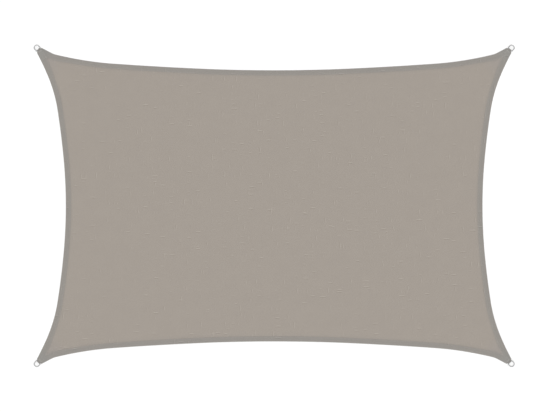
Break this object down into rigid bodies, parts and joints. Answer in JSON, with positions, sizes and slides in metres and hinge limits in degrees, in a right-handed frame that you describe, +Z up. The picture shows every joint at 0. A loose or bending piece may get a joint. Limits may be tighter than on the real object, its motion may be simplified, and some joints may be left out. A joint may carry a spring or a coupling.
{
  "type": "shade sail",
  "caption": "Rectangular knitted shade sail with inward-bowed, hemmed edges and a steel D-ring on a webbing loop at each corner, laid out flat.",
  "frame": {"origin": "middle of the sail, on the surface it lies on", "axes": "+X along the long edges, +Y along the short edges, +Z up, away from the surface"},
  "size_m": [3.0004, 2.0106, 0.0081],
  "materials": {
    "shade_cloth": "knitted polyethylene, matt",
    "webbing": "woven polyester webbing, matt",
    "ring_steel": "stainless steel wire, satin"
  },
  "bodies": {
    "root": {"panel": "shade_cloth", "corner_loop_ne": "webbing", "corner_loop_nw": "webbing", "corner_loop_sw": "webbing", "corner_loop_se": "webbing", "d_ring_ne": "ring_steel", "d_ring_nw": "ring_steel", "d_ring_sw": "ring_steel", "d_ring_se": "ring_steel"}
  },
  "joints": []
}
